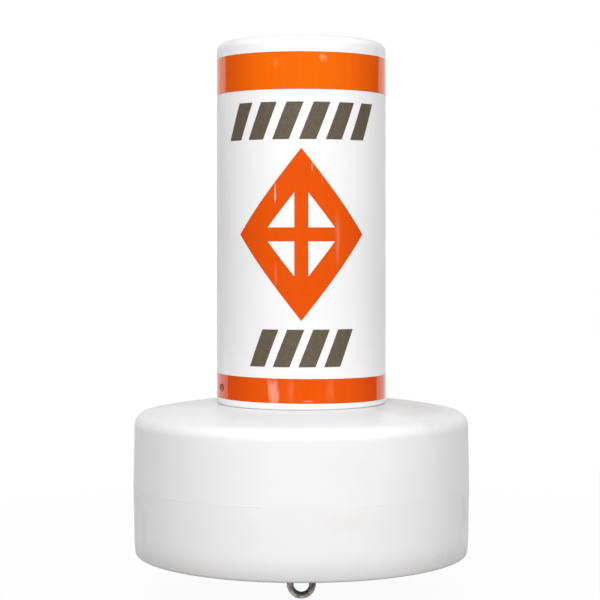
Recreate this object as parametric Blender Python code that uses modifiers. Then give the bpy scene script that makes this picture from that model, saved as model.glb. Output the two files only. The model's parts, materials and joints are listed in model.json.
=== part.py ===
"""Float collar buoy: a moulded post that stands in a wide float collar, over a mooring eye.

Blender 4.5, metres, +Z up. The origin is the centre of the mooring eye's opening, and the
sign faces -Y. A tube with a flange passes up through the collar's bore into the post's foot,
so that the flange and the post trap the collar. Screws through the post's foot hold the tube.
"""

import math

import bmesh
import bpy
from mathutils import Matrix, Vector

# Clearances
FIT_GAP = 0.0003
SLIDE_GAP = 0.0006
HOLE_GAP = 0.0005

# Fineness
TURN_STEPS = 64
SMALL_TURN_STEPS = 24
ARC_CHORD = 0.006
SHARP_ANGLE = math.radians(35)

# Post
POST_RADIUS = 0.1143
POST_HEIGHT = 0.4874
POST_WALL = 0.005
POST_TOP_ROUND = 0.011
POST_FOOT_ROUND = 0.0025

# Collar
COLLAR_RADIUS = 0.226
COLLAR_HEIGHT = 0.2014
COLLAR_WALL = 0.005
COLLAR_TOP_FALL = 0.0165
COLLAR_TOP_CROWN = 0.0015
COLLAR_TOP_DRAFT = 0.0012
COLLAR_FOOT_DRAFT = 0.0016
COLLAR_RIM_ROUND = 0.016
COLLAR_FOOT_ROUND = 0.007
COLLAR_BORE_ROUND = 0.001
INNER_ROUND = 0.002
SEAT_MARGIN = 0.003
PARTING_HEIGHT = 0.0932
PARTING_RIDGE = 0.0013
PARTING_WIDTH = 0.003

# Filling plug, under the collar at the back
PLUG_RADIUS = 0.0125
PLUG_HEAD_RADIUS = 0.0165
PLUG_HEAD_HEIGHT = 0.003
PLUG_DEPTH = 0.0045

# Stem: the tube with a floor and a flange
STEM_WALL = 0.006
STEM_FLOOR = 0.0065
STEM_REACH = 0.045
STEM_INNER_ROUND = 0.004
FLANGE_WIDTH = 0.0263
FLANGE_ROUND = 0.002

# Ballast
BALLAST_HEIGHT = 0.035
BALLAST_ROUND = 0.003

# Mooring eye, of 3/8 inch bar
EYE_BAR_RADIUS = 0.00476
EYE_OPENING_RADIUS = 0.0103
EYE_BAR_STEPS = 12
EYE_RING_STEPS = 30
NECK_RADIUS = 0.0062
NECK_HEIGHT = 0.0042
NECK_TAPER = 0.0055
SHANK_BELOW_NUT = 0.0024
SHANK_END_ROUND = 0.001
SHANK_PAST_NUT = 0.005
WASHER_RADIUS = 0.02
WASHER_HEIGHT = 0.003
NUT_ACROSS_FLATS = 0.017
NUT_HEIGHT = 0.008

# Reflective film
FILM_THICKNESS = 0.0005
UPPER_BAND_BELOW_TOP = 0.0235
UPPER_BAND_WIDTH = 0.0485
LOWER_BAND_ABOVE_FOOT = 0.0084
LOWER_BAND_WIDTH = 0.032
SIGN_ABOVE_FOOT = 0.2273
SIGN_HALF_WIDTH = 0.088
SIGN_HALF_HEIGHT = 0.112
SIGN_BORDER = 0.0284
SIGN_BAR_WIDTH = 0.018

# Screws through the foot of the post
SCREW_ABOVE_FOOT = 0.0235
SCREW_TURN = math.radians(67.5)
SCREW_RADIUS = 0.0024
SCREW_BITE = 0.0045
SCREW_HEAD_RADIUS = 0.005
SCREW_HEAD_HEIGHT = 0.0024
SCREW_TIP = 0.001

# Levels, from the eye upwards
EYE_RING_RADIUS = EYE_OPENING_RADIUS + EYE_BAR_RADIUS
NECK_TOP = EYE_RING_RADIUS + NECK_HEIGHT + NECK_TAPER
LOWER_NUT_LEVEL = NECK_TOP + SHANK_BELOW_NUT
LOWER_WASHER_LEVEL = LOWER_NUT_LEVEL + NUT_HEIGHT + FIT_GAP
STEM_LEVEL = LOWER_WASHER_LEVEL + WASHER_HEIGHT + FIT_GAP
COLLAR_LEVEL = STEM_LEVEL + STEM_FLOOR + FIT_GAP
POST_LEVEL = COLLAR_LEVEL + COLLAR_HEIGHT + FIT_GAP
BALLAST_LEVEL = STEM_LEVEL + STEM_FLOOR + FIT_GAP
UPPER_WASHER_LEVEL = BALLAST_LEVEL + BALLAST_HEIGHT + FIT_GAP
UPPER_NUT_LEVEL = UPPER_WASHER_LEVEL + WASHER_HEIGHT + FIT_GAP
SHANK_TOP = UPPER_NUT_LEVEL + NUT_HEIGHT + SHANK_PAST_NUT

# Radii that follow from the fits
STEM_RADIUS = POST_RADIUS - POST_WALL - SLIDE_GAP
STEM_INSIDE = STEM_RADIUS - STEM_WALL
STEM_HEIGHT = COLLAR_LEVEL + COLLAR_HEIGHT + STEM_REACH - STEM_LEVEL
BORE_RADIUS = STEM_RADIUS + SLIDE_GAP
SHANK_HOLE_RADIUS = EYE_BAR_RADIUS + HOLE_GAP
FILM_INSIDE = POST_RADIUS + FIT_GAP
FILM_OUTSIDE = FILM_INSIDE + FILM_THICKNESS
FACET_ANGLE = math.tau / TURN_STEPS

# Colours, as sRGB
WHITE_PLASTIC = 0xEDEDEB
ORANGE_FILM = 0xF0560F
GREY_STEEL = 0x8E8A84
DARK_IRON = 0x4A4846
CREAM_FOAM = 0xF1E6C4


def clear_scene():
    """Removes what the startup scene holds."""
    for thing in list(bpy.data.objects):
        bpy.data.objects.remove(thing)


def new_collection(name):
    collection = bpy.data.collections.new(name)
    bpy.context.scene.collection.children.link(collection)
    return collection


def new_object(name, data, collection):
    thing = bpy.data.objects.new(name, data)
    collection.objects.link(thing)
    return thing


def linear(code):
    """An sRGB colour, written as 0xRRGGBB, as linear red, green, blue and alpha."""
    channels = [(code >> shift & 255) / 255 for shift in (16, 8, 0)]
    return [c / 12.92 if c <= 0.04045 else ((c + 0.055) / 1.055) ** 2.4 for c in channels] + [1.0]


def finish(thing, colour, roughness, metallic=0.0):
    """Gives an object a material of its own."""
    material = bpy.data.materials.new(f"{thing.name}_finish")
    material.use_nodes = True
    shader = material.node_tree.nodes["Principled BSDF"]
    shader.inputs["Base Color"].default_value = linear(colour)
    shader.inputs["Roughness"].default_value = roughness
    shader.inputs["Metallic"].default_value = metallic
    material.diffuse_color = linear(colour)
    thing.data.materials.append(material)


def side_of(corner, neighbour, neighbour_radius):
    """The direction from a corner to its neighbour, and the length that a fillet may take."""
    side = neighbour - corner
    return side.normalized(), side.length * (0.5 if neighbour_radius else 0.95)


def rounded(corners):
    """The points of an outline whose corners (r, z, radius) become arcs, tangent to both sides."""
    places = [Vector((r, z)) for r, z, _ in corners]
    points = []
    for index, (_, _, radius) in enumerate(corners):
        corner = places[index]
        if radius == 0:
            points.append(corner)
            continue
        following = (index + 1) % len(places)
        before, room_before = side_of(corner, places[index - 1], corners[index - 1][2])
        after, room_after = side_of(corner, places[following], corners[following][2])
        half_angle = before.angle(after) / 2
        reach = min(radius / math.tan(half_angle), room_before, room_after)
        radius = reach * math.tan(half_angle)
        centre = corner + (before + after).normalized() * (radius / math.sin(half_angle))
        start = (corner + before * reach - centre).normalized()
        end = (corner + after * reach - centre).normalized()
        steps = math.ceil(start.angle(end) * radius / ARC_CHORD)
        for step in range(steps + 1):
            points.append(centre + start.slerp(end, step / steps) * radius)
    return [(point.x, point.y) for point in points]


def turned(name, outline, collection, closed=True, steps=TURN_STEPS):
    """A turned piece. Its outline of (r, z) points runs down the outer side."""
    mesh = bpy.data.meshes.new(name)
    edges = [(i, i + 1) for i in range(len(outline) - 1)]
    if closed:
        edges.append((len(outline) - 1, 0))
    mesh.from_pydata([(r, 0, z) for r, z in outline], edges, [])
    thing = new_object(name, mesh, collection)
    screw = thing.modifiers.new("Turn", "SCREW")
    screw.axis = "Z"
    screw.angle = math.tau
    screw.steps = steps
    screw.render_steps = steps
    screw.use_merge_vertices = True
    screw.merge_threshold = 0.0001
    screw.use_smooth_shade = True
    return thing


def ring(name, inside, outside, height, collection, steps=SMALL_TURN_STEPS):
    """A flat ring that stands on its own zero level."""
    outline = [(inside, height), (outside, height), (outside, 0), (inside, 0)]
    return turned(name, outline, collection, steps=steps)


def hide_cutter(cutter):
    cutter.hide_render = True
    cutter.display_type = "WIRE"


def combine(thing, other, operation):
    boolean = thing.modifiers.new(f"{operation.title()} {other.name}", "BOOLEAN")
    boolean.operation = operation
    boolean.object = other


def cylinder_cutter(name, radius, depth, matrix, collection):
    """A cylinder from its own zero level down to -depth, placed by a matrix."""
    mesh = bpy.data.meshes.new(name)
    model = bmesh.new()
    bmesh.ops.create_cone(
        model,
        cap_ends=True,
        segments=SMALL_TURN_STEPS,
        radius1=radius,
        radius2=radius,
        depth=depth,
        matrix=Matrix.Translation((0, 0, -depth / 2)),
    )
    model.to_mesh(mesh)
    model.free()
    cutter = new_object(name, mesh, collection)
    cutter.matrix_world = matrix
    hide_cutter(cutter)
    return cutter


def make_post(parts):
    """The post's shell: closed and rounded at the top, open at the foot."""
    inside = POST_RADIUS - POST_WALL
    ceiling = POST_HEIGHT - POST_WALL
    outline = rounded([
        (0, POST_HEIGHT, 0),
        (POST_RADIUS, POST_HEIGHT, POST_TOP_ROUND),
        (POST_RADIUS, 0, POST_FOOT_ROUND),
        (inside, 0, 0),
        (inside, ceiling, max(POST_TOP_ROUND - POST_WALL, INNER_ROUND)),
        (0, ceiling, 0),
    ])
    post = turned("post_shell", outline, parts, closed=False)
    post.location.z = POST_LEVEL
    finish(post, WHITE_PLASTIC, 0.35)
    return post


def make_post_foam(parts):
    """The foam in the post, from the top of the stem to the post's ceiling."""
    radius = POST_RADIUS - POST_WALL - FIT_GAP
    foot = STEM_LEVEL + STEM_HEIGHT + FIT_GAP
    height = POST_LEVEL + POST_HEIGHT - POST_WALL - FIT_GAP - foot
    outline = rounded([
        (0, height, 0),
        (radius, height, max(POST_TOP_ROUND - POST_WALL, INNER_ROUND)),
        (radius, 0, 0),
        (0, 0, 0),
    ])
    foam = turned("post_foam", outline, parts, closed=False)
    foam.location.z = foot
    finish(foam, CREAM_FOAM, 0.9)


def collar_outline(inset, ridge):
    """The section of the collar, or of its hollow or foam when inset from the outside."""
    seat = POST_RADIUS + SEAT_MARGIN
    bore = BORE_RADIUS + inset
    top = COLLAR_HEIGHT - inset
    rim = top - COLLAR_TOP_FALL
    rim_radius = COLLAR_RADIUS - COLLAR_TOP_DRAFT - inset
    foot_radius = COLLAR_RADIUS - COLLAR_FOOT_DRAFT - inset
    slope = [Vector((seat, top)), Vector((rim_radius, rim))]
    crown = [slope[0].lerp(slope[1], share) for share in (1 / 3, 2 / 3)]
    corners = [(bore, top, max(COLLAR_BORE_ROUND - inset, 0)), (seat, top, 0)]
    corners += [(point.x, point.y + COLLAR_TOP_CROWN, 0) for point in crown]
    corners.append((rim_radius, rim, max(COLLAR_RIM_ROUND - inset, INNER_ROUND)))
    corners.append((COLLAR_RADIUS - inset, PARTING_HEIGHT + PARTING_WIDTH / 2, 0))
    if ridge:
        corners.append((COLLAR_RADIUS - inset + PARTING_RIDGE, PARTING_HEIGHT, 0))
    corners += [
        (COLLAR_RADIUS - inset, PARTING_HEIGHT - PARTING_WIDTH / 2, 0),
        (foot_radius, inset, max(COLLAR_FOOT_ROUND - inset, INNER_ROUND)),
        (bore, inset, max(COLLAR_BORE_ROUND - inset, 0)),
    ]
    return rounded(corners)


def make_collar(parts, cutters):
    """The collar's hollow ring, with its filling hole, and the foam and the plug."""
    collar = turned("collar_shell", collar_outline(0, ridge=True), parts)
    hollow = turned("collar_hollow", collar_outline(COLLAR_WALL, ridge=False), cutters)
    foam = turned("collar_foam", collar_outline(COLLAR_WALL + FIT_GAP, ridge=False), parts)
    for thing in (collar, hollow, foam):
        thing.location.z = COLLAR_LEVEL
    hide_cutter(hollow)
    combine(collar, hollow, "DIFFERENCE")

    plug_place = Matrix.Translation((0, (BORE_RADIUS + COLLAR_RADIUS) / 2, COLLAR_LEVEL))
    hole = cylinder_cutter(
        "filling_hole",
        PLUG_RADIUS + HOLE_GAP,
        2 * COLLAR_WALL,
        plug_place @ Matrix.Translation((0, 0, 1.5 * COLLAR_WALL)),
        cutters,
    )
    combine(collar, hole, "DIFFERENCE")
    finish(collar, WHITE_PLASTIC, 0.3)
    finish(foam, CREAM_FOAM, 0.9)

    outline = rounded([
        (0, PLUG_DEPTH, 0),
        (PLUG_RADIUS, PLUG_DEPTH, 0),
        (PLUG_RADIUS, -FIT_GAP, 0),
        (PLUG_HEAD_RADIUS, -FIT_GAP, 0),
        (PLUG_HEAD_RADIUS, -FIT_GAP - PLUG_HEAD_HEIGHT, PLUG_HEAD_HEIGHT / 2),
        (0, -FIT_GAP - PLUG_HEAD_HEIGHT, 0),
    ])
    plug = turned("collar_plug", outline, parts, closed=False, steps=SMALL_TURN_STEPS)
    plug.location = plug_place.translation
    finish(plug, WHITE_PLASTIC, 0.4)


def make_stem(parts):
    """The tube that carries the collar on its flange and stands up into the post's foot."""
    flange_radius = STEM_RADIUS + FLANGE_WIDTH
    outline = rounded([
        (SHANK_HOLE_RADIUS, STEM_FLOOR, 0),
        (STEM_INSIDE, STEM_FLOOR, STEM_INNER_ROUND),
        (STEM_INSIDE, STEM_HEIGHT, 0),
        (STEM_RADIUS, STEM_HEIGHT, 0),
        (STEM_RADIUS, STEM_FLOOR, 0),
        (flange_radius, STEM_FLOOR, FLANGE_ROUND),
        (flange_radius, 0, FLANGE_ROUND),
        (SHANK_HOLE_RADIUS, 0, 0),
    ])
    stem = turned("stem", outline, parts)
    stem.location.z = STEM_LEVEL
    finish(stem, WHITE_PLASTIC, 0.4)
    return stem


def make_ballast(parts):
    """The cast disc on the stem's floor."""
    radius = STEM_INSIDE - SLIDE_GAP
    outline = rounded([
        (SHANK_HOLE_RADIUS, BALLAST_HEIGHT, 0),
        (radius, BALLAST_HEIGHT, BALLAST_ROUND),
        (radius, 0, STEM_INNER_ROUND),
        (SHANK_HOLE_RADIUS, 0, 0),
    ])
    ballast = turned("ballast", outline, parts)
    ballast.location.z = BALLAST_LEVEL
    finish(ballast, DARK_IRON, 0.8, metallic=0.6)


def make_stem_foam(parts):
    """The foam over the ballast, with a pocket for the upper nut and washer."""
    radius = STEM_INSIDE - FIT_GAP
    foot = UPPER_WASHER_LEVEL
    height = STEM_LEVEL + STEM_HEIGHT - foot
    pocket_radius = WASHER_RADIUS + HOLE_GAP
    pocket_height = SHANK_TOP + SLIDE_GAP - foot
    outline = [
        (0, height),
        (radius, height),
        (radius, 0),
        (pocket_radius, 0),
        (pocket_radius, pocket_height),
        (0, pocket_height),
    ]
    foam = turned("stem_foam", outline, parts, closed=False)
    foam.location.z = foot
    finish(foam, CREAM_FOAM, 0.9)


def make_eye_bolt(parts, cutters):
    """The ring of round bar, with a forged neck and a shank that passes up to the upper nut."""
    bpy.ops.mesh.primitive_torus_add(
        major_radius=EYE_RING_RADIUS,
        minor_radius=EYE_BAR_RADIUS,
        major_segments=EYE_RING_STEPS,
        minor_segments=EYE_BAR_STEPS,
    )
    eye = bpy.context.object
    eye.name = "eye_bolt"
    eye.data.transform(Matrix.Rotation(math.pi / 2, 4, "X"))
    for collection in list(eye.users_collection):
        collection.objects.unlink(eye)
    parts.objects.link(eye)

    outline = rounded([
        (0, SHANK_TOP, 0),
        (EYE_BAR_RADIUS, SHANK_TOP, SHANK_END_ROUND),
        (EYE_BAR_RADIUS, NECK_TOP, 0),
        (NECK_RADIUS, NECK_TOP - NECK_TAPER, 0),
        (EYE_BAR_RADIUS / 2, EYE_RING_RADIUS, 0),
        (0, EYE_RING_RADIUS, 0),
    ])
    shank = turned("eye_shank", outline, cutters, closed=False, steps=SMALL_TURN_STEPS)
    hide_cutter(shank)
    combine(eye, shank, "UNION")
    finish(eye, GREY_STEEL, 0.4, metallic=1.0)


def make_nut(name, level, parts, cutters):
    """A hexagonal nut with a plain bore."""
    mesh = bpy.data.meshes.new(name)
    model = bmesh.new()
    corner_radius = NUT_ACROSS_FLATS / 2 / math.cos(math.pi / 6)
    bmesh.ops.create_cone(
        model,
        cap_ends=True,
        segments=6,
        radius1=corner_radius,
        radius2=corner_radius,
        depth=NUT_HEIGHT,
        matrix=Matrix.Translation((0, 0, NUT_HEIGHT / 2)),
    )
    model.to_mesh(mesh)
    model.free()
    nut = new_object(name, mesh, parts)
    nut.location.z = level
    bore = cylinder_cutter(
        f"{name}_bore",
        EYE_BAR_RADIUS + FIT_GAP,
        2 * NUT_HEIGHT,
        Matrix.Translation((0, 0, level + 1.5 * NUT_HEIGHT)),
        cutters,
    )
    combine(nut, bore, "DIFFERENCE")
    finish(nut, GREY_STEEL, 0.4, metallic=1.0)


def make_eye_fasteners(parts, cutters):
    """The washers and nuts that clamp the eye bolt to the stem's floor and the ballast."""
    for name, level in (
        ("eye_washer_upper", UPPER_WASHER_LEVEL),
        ("eye_washer_lower", LOWER_WASHER_LEVEL),
    ):
        washer = ring(name, SHANK_HOLE_RADIUS, WASHER_RADIUS, WASHER_HEIGHT, parts)
        washer.location.z = level
        finish(washer, GREY_STEEL, 0.4, metallic=1.0)
    make_nut("eye_nut_upper", UPPER_NUT_LEVEL, parts, cutters)
    make_nut("eye_nut_lower", LOWER_NUT_LEVEL, parts, cutters)


def make_bands(parts):
    """The two turns of reflective tape. The post's foot screws pass through the lower one."""
    upper = ring("upper_band", FILM_INSIDE, FILM_OUTSIDE, UPPER_BAND_WIDTH, parts, TURN_STEPS)
    upper.location.z = POST_LEVEL + POST_HEIGHT - UPPER_BAND_BELOW_TOP - UPPER_BAND_WIDTH
    lower = ring("lower_band", FILM_INSIDE, FILM_OUTSIDE, LOWER_BAND_WIDTH, parts, TURN_STEPS)
    lower.location.z = POST_LEVEL + LOWER_BAND_ABOVE_FOOT
    for band in (upper, lower):
        finish(band, ORANGE_FILM, 0.3)
    return lower


def sign_loops():
    """The flat sign's loops: its diamond outline, and four windows that leave a cross."""
    width = SIGN_HALF_WIDTH
    height = SIGN_HALF_HEIGHT
    bar = SIGN_BAR_WIDTH / 2
    inner = 1 - SIGN_BORDER * math.hypot(1 / width, 1 / height)
    loops = [[(0, height), (width, 0), (0, -height), (-width, 0)]]
    for side in (-1, 1):
        for rise in (-1, 1):
            loops.append([
                (side * bar, rise * bar),
                (side * width * (inner - bar / height), rise * bar),
                (side * bar, rise * height * (inner - bar / width)),
            ])
    return loops


def flat_sign():
    """The die-cut sheet of the sign, lying in its own X and Y, as a mesh."""
    curve = bpy.data.curves.new("sign_outline", "CURVE")
    curve.dimensions = "2D"
    curve.fill_mode = "BOTH"
    curve.extrude = FILM_THICKNESS / 2
    for loop in sign_loops():
        spline = curve.splines.new("POLY")
        spline.points.add(len(loop) - 1)
        for point, (across, up) in zip(spline.points, loop):
            point.co = (across, up, 0, 1)
        spline.use_cyclic_u = True
    guide = new_object("sign_outline", curve, bpy.context.scene.collection)
    graph = bpy.context.evaluated_depsgraph_get()
    mesh = bpy.data.meshes.new_from_object(guide.evaluated_get(graph))
    bpy.data.objects.remove(guide)
    return mesh


def on_facets(across, radius):
    """The place, in X and Y, of a point of the wrapped sheet, on the post's flat facets."""
    turns = across / (FILM_INSIDE * FACET_ANGLE)
    facet = math.floor(turns)
    edges = [
        Vector((math.sin(angle), -math.cos(angle))) * radius
        for angle in (facet * FACET_ANGLE, (facet + 1) * FACET_ANGLE)
    ]
    return edges[0].lerp(edges[1], turns - facet)


def make_sign(parts):
    """The diamond, cut flat, creased at each facet of the post and wrapped round it."""
    mesh = flat_sign()
    model = bmesh.new()
    model.from_mesh(mesh)
    bmesh.ops.remove_doubles(model, verts=model.verts, dist=FILM_THICKNESS / 100)
    facet_width = FILM_INSIDE * FACET_ANGLE
    reach = math.ceil(SIGN_HALF_WIDTH / facet_width)
    for facet in range(-reach, reach + 1):
        bmesh.ops.bisect_plane(
            model,
            geom=model.verts[:] + model.edges[:] + model.faces[:],
            plane_co=(facet * facet_width, 0, 0),
            plane_no=(1, 0, 0),
        )
    middle = FILM_INSIDE + FILM_THICKNESS / 2
    for vert in model.verts:
        across, up, depth = vert.co
        place = on_facets(across, middle + depth)
        vert.co = (place.x, place.y, up)
    model.to_mesh(mesh)
    model.free()
    sign = new_object("diamond_sign", mesh, parts)
    sign.location.z = POST_LEVEL + SIGN_ABOVE_FOOT
    finish(sign, ORANGE_FILM, 0.3)


def make_screws(parts, cutters, holed):
    """The two screws through the foot of the post, and their holes in the pieces they join."""
    shank_length = FILM_OUTSIDE + FIT_GAP - STEM_RADIUS + SCREW_BITE
    outline = rounded([
        (0, SCREW_HEAD_HEIGHT, 0),
        (SCREW_HEAD_RADIUS, SCREW_HEAD_HEIGHT, SCREW_HEAD_HEIGHT),
        (SCREW_HEAD_RADIUS, 0, 0),
        (SCREW_RADIUS, 0, 0),
        (SCREW_RADIUS, SCREW_TIP - shank_length, 0),
        (0, -shank_length, 0),
    ])
    level = POST_LEVEL + SCREW_ABOVE_FOOT
    for name, turn in (("front", -SCREW_TURN), ("back", math.pi - SCREW_TURN)):
        outwards = Matrix.Rotation(turn, 4, "Z") @ Matrix.Rotation(math.pi / 2, 4, "X")
        seat = Matrix.Translation((0, 0, FILM_OUTSIDE + FIT_GAP))
        place = Matrix.Translation((0, 0, level)) @ outwards @ seat
        screw = turned(f"post_screw_{name}", outline, parts, False, SMALL_TURN_STEPS)
        screw.matrix_world = place
        finish(screw, DARK_IRON, 0.4, metallic=1.0)
        hole = cylinder_cutter(
            f"screw_hole_{name}",
            SCREW_RADIUS + HOLE_GAP,
            shank_length + 2 * HOLE_GAP,
            place @ Matrix.Translation((0, 0, HOLE_GAP)),
            cutters,
        )
        for thing in holed:
            combine(thing, hole, "DIFFERENCE")


def settle(parts):
    """Makes each piece a plain mesh, smooth between its sharp edges, and parents it to an empty."""
    pieces = list(parts.objects)
    graph = bpy.context.evaluated_depsgraph_get()
    meshes = [bpy.data.meshes.new_from_object(piece.evaluated_get(graph)) for piece in pieces]
    frame = new_object("buoy_frame", None, parts)
    for piece, mesh in zip(pieces, meshes):
        piece.modifiers.clear()
        piece.data = mesh
        mesh.shade_smooth()
        mesh.set_sharp_from_angle(angle=SHARP_ANGLE)
        piece.parent = frame


def main():
    clear_scene()
    parts = new_collection("float_collar_buoy")
    cutters = new_collection("cutters")
    post = make_post(parts)
    make_post_foam(parts)
    make_collar(parts, cutters)
    stem = make_stem(parts)
    make_ballast(parts)
    make_stem_foam(parts)
    make_eye_bolt(parts, cutters)
    make_eye_fasteners(parts, cutters)
    lower_band = make_bands(parts)
    make_sign(parts)
    make_screws(parts, cutters, (lower_band, post, stem))
    settle(parts)


main()
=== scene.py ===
"""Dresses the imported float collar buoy: turned mouldings, films, steelwork and a studio.

Metres, +Z up. The origin is the centre of the mooring eye's opening and the sign faces -Y, as in
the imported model. Every piece takes its levels and radii from the CAD node that it stands for.
"""

from __future__ import annotations

import json
import logging
import math
from dataclasses import dataclass
from enum import Enum
from typing import Callable

import bmesh
import bpy
from mathutils import Matrix, Vector, noise

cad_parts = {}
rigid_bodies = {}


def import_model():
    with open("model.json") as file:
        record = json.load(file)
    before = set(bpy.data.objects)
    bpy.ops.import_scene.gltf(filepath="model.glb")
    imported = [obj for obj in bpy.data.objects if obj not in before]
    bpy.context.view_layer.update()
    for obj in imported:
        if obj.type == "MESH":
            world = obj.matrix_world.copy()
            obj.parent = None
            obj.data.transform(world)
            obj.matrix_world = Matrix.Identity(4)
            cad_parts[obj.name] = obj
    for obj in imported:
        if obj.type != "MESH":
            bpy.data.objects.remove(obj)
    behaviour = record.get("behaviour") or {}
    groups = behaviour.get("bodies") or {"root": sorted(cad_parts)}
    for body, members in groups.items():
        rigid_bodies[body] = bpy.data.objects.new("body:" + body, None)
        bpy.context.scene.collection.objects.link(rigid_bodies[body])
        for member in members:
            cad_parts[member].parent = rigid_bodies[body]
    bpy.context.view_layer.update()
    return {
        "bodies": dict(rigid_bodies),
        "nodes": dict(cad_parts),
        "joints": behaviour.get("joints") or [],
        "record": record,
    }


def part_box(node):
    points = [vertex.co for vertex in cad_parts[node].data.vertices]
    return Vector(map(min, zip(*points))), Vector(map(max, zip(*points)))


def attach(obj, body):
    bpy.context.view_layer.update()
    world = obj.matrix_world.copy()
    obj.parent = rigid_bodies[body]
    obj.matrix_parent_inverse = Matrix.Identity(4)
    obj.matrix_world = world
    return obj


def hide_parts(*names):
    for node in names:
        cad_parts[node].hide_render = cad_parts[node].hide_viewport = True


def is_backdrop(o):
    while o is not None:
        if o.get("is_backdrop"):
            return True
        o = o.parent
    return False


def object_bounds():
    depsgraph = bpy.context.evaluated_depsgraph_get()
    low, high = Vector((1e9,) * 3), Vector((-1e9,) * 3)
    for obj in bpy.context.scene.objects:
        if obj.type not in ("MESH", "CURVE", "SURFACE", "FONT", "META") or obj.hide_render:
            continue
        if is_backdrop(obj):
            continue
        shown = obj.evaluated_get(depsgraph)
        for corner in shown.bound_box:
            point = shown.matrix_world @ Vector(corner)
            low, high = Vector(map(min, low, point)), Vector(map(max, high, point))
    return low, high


LOG = logging.getLogger("float_collar_buoy")

MM = 0.001
BODY = "root"
MERGE_DISTANCE = 0.01 * MM
SHARP_ANGLE = math.radians(38)
BRACE = 0.8 * MM

Model = bmesh.types.BMesh
Tree = bpy.types.NodeTree
Socket = bpy.types.NodeSocket


class Slot(Enum):
    """The record's material slots, named with the new pieces but not used."""

    WHITE_PLASTIC = "white_plastic"
    ORANGE_FILM = "orange_film"
    STEEL = "steel"


class Joinery(Enum):
    """What is kept where one solid meets another."""

    CUT = "DIFFERENCE"
    COMMON = "INTERSECT"
    WELD = "UNION"


class Side(Enum):
    """The side of the post that a foot screw is on, seen from the front."""

    LEFT = "left"
    RIGHT = "right"


def linear(code: str) -> tuple[float, float, float, float]:
    """Turns an sRGB hex colour to linear.

    Args:
        code: The colour as "#RRGGBB".

    Returns:
        Linear red, green and blue, and an alpha of 1.
    """
    channels = [int(code[i : i + 2], 16) / 255 for i in (1, 3, 5)]
    red, green, blue = (
        c / 12.92 if c <= 0.04045 else ((c + 0.055) / 1.055) ** 2.4 for c in channels
    )
    return red, green, blue, 1.0


def feed(tree: Tree, node: bpy.types.Node, inputs: dict) -> None:
    """Sets or links a node's inputs.

    Args:
        tree: The node tree.
        node: The node.
        inputs: Input names or numbers, each with a constant, or with the socket that feeds it,
            or with the node whose first output does.
    """
    for key, value in inputs.items():
        if isinstance(value, bpy.types.Node):
            value = value.outputs[0]
        if isinstance(value, bpy.types.NodeSocket):
            tree.links.new(value, node.inputs[key])
        else:
            node.inputs[key].default_value = value


def add_node(tree: Tree, kind: str, inputs: dict | None = None, **settings) -> bpy.types.Node:
    """Adds a node with its settings and links.

    Args:
        tree: The node tree that gets the node.
        kind: The node's type name after "ShaderNode".
        inputs: What feeds its inputs.
        **settings: The node's own properties.

    Returns:
        The new node.
    """
    node = tree.nodes.new(f"ShaderNode{kind}")
    for name, value in settings.items():
        setattr(node, name, value)
    feed(tree, node, inputs or {})
    return node


# Meshes


@dataclass(frozen=True)
class Corner:
    """A corner of a turned outline.

    Its edge is broken by a round that starts `cut` metres before the corner.
    """

    r: float
    z: float
    cut: float = 0.0
    steps: int = 4


def turned(corners: list[Corner], steps: int, closed: bool = False) -> Model:
    """Spins an outline about the Z axis into a closed solid.

    A brace of loops just inside both ends of each long edge keeps flat walls flat in the light.

    Args:
        corners: The outline, from the axis or round a section that stands clear of it.
        steps: How many steps make the full turn.
        closed: Whether the last corner joins the first.

    Returns:
        The turned solid with its faces outwards.
    """
    model = bmesh.new()
    verts = [model.verts.new((corner.r, 0, corner.z)) for corner in corners]
    for pair in zip(verts, verts[1:] + verts[:1] if closed else verts[1:]):
        model.edges.new(pair)
    for vert, corner in zip(verts, corners):
        if corner.cut:
            bmesh.ops.bevel(
                model,
                geom=[vert],
                offset=corner.cut,
                offset_type="OFFSET",
                segments=corner.steps,
                profile=0.5,
                affect="VERTICES",
                material=-1,
            )
    for edge in [edge for edge in model.edges if edge.calc_length() > 8 * BRACE]:
        near, far = edge.verts
        _, brace = bmesh.utils.edge_split(edge, near, BRACE / edge.calc_length())
        rest = next(part for part in brace.link_edges if far in part.verts)
        bmesh.utils.edge_split(rest, far, BRACE / rest.calc_length())
    return spun(model, (0, 0, 1), steps)


def spun(model: Model, axis: tuple[int, int, int], steps: int) -> Model:
    """Spins an outline a full turn about an axis through the origin.

    Args:
        model: The outline.
        axis: The axis.
        steps: How many steps make the full turn.

    Returns:
        The same model with its doubles merged and its faces outwards.
    """
    bmesh.ops.spin(
        model,
        geom=model.verts[:] + model.edges[:],
        cent=(0, 0, 0),
        axis=axis,
        dvec=(0, 0, 0),
        angle=math.tau,
        steps=steps,
        use_merge=True,
        use_duplicate=False,
    )
    bmesh.ops.remove_doubles(model, verts=model.verts, dist=MERGE_DISTANCE)
    bmesh.ops.recalc_face_normals(model, faces=model.faces)
    return model


def inset(model: Model, width: float) -> set[bmesh.types.BMFace]:
    """Insets a flat sheet all round by a width, and gives the faces of its new border."""
    result = bmesh.ops.inset_region(
        model, faces=model.faces[:], thickness=width, use_boundary=True, use_even_offset=True
    )
    return set(result["faces"])


def add_hollow(model: Model, hollow: Model) -> None:
    """Adds a closed hollow to a solid as an inner skin that faces the hollow.

    Args:
        model: The solid.
        hollow: The hollow's own outward solid. It is used up.
    """
    bmesh.ops.reverse_faces(hollow, faces=hollow.faces)
    skin = bpy.data.meshes.new("hollow")
    hollow.to_mesh(skin)
    hollow.free()
    model.from_mesh(skin)
    bpy.data.meshes.remove(skin)


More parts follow.
